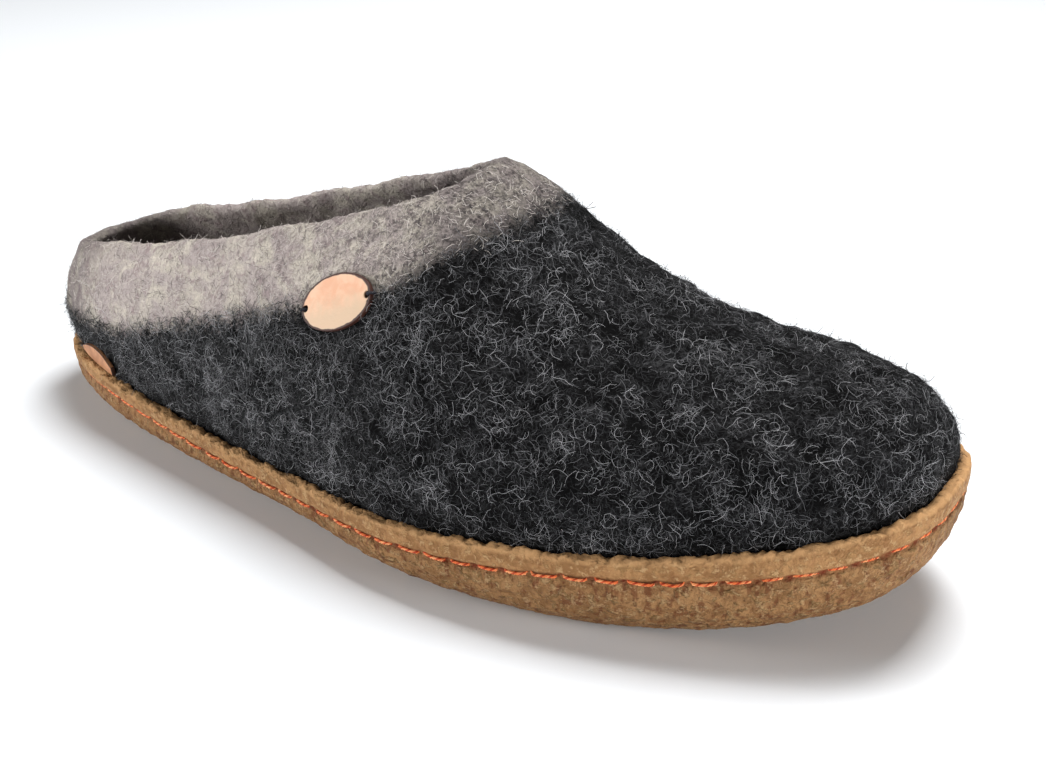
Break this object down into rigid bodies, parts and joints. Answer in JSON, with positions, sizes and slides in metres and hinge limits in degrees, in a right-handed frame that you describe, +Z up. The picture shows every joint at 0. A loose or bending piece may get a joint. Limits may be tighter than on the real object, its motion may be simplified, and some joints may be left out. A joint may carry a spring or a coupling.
{
  "type": "felt slipper",
  "caption": "Closed slipper for a right foot: hollow felted wool upper with a light collar, crepe rubber cup sole with a stitch groove, felt footbed, oval leather tag and heel label",
  "frame": {"origin": "on the floor, under the middle of the bounding box", "axes": "+X to the toe, +Y to the inner side of the right foot, +Z up"},
  "size_m": [0.2832, 0.106, 0.0979],
  "materials": {
    "crepe_rubber": "matt crepe with mottles and a fine crinkle",
    "wool_felt": "hairy felted wool, charcoal with a light grey collar",
    "footbed_felt": "smooth pressed felt",
    "tag_leather": "natural leather with a dark burnt edge",
    "label_leather": "natural leather with dark edges"
  },
  "bodies": {
    "root": {"outsole": "crepe_rubber", "upper": "wool_felt", "insole": "footbed_felt", "side_tag": "tag_leather", "heel_tab": "label_leather"}
  },
  "joints": []
}
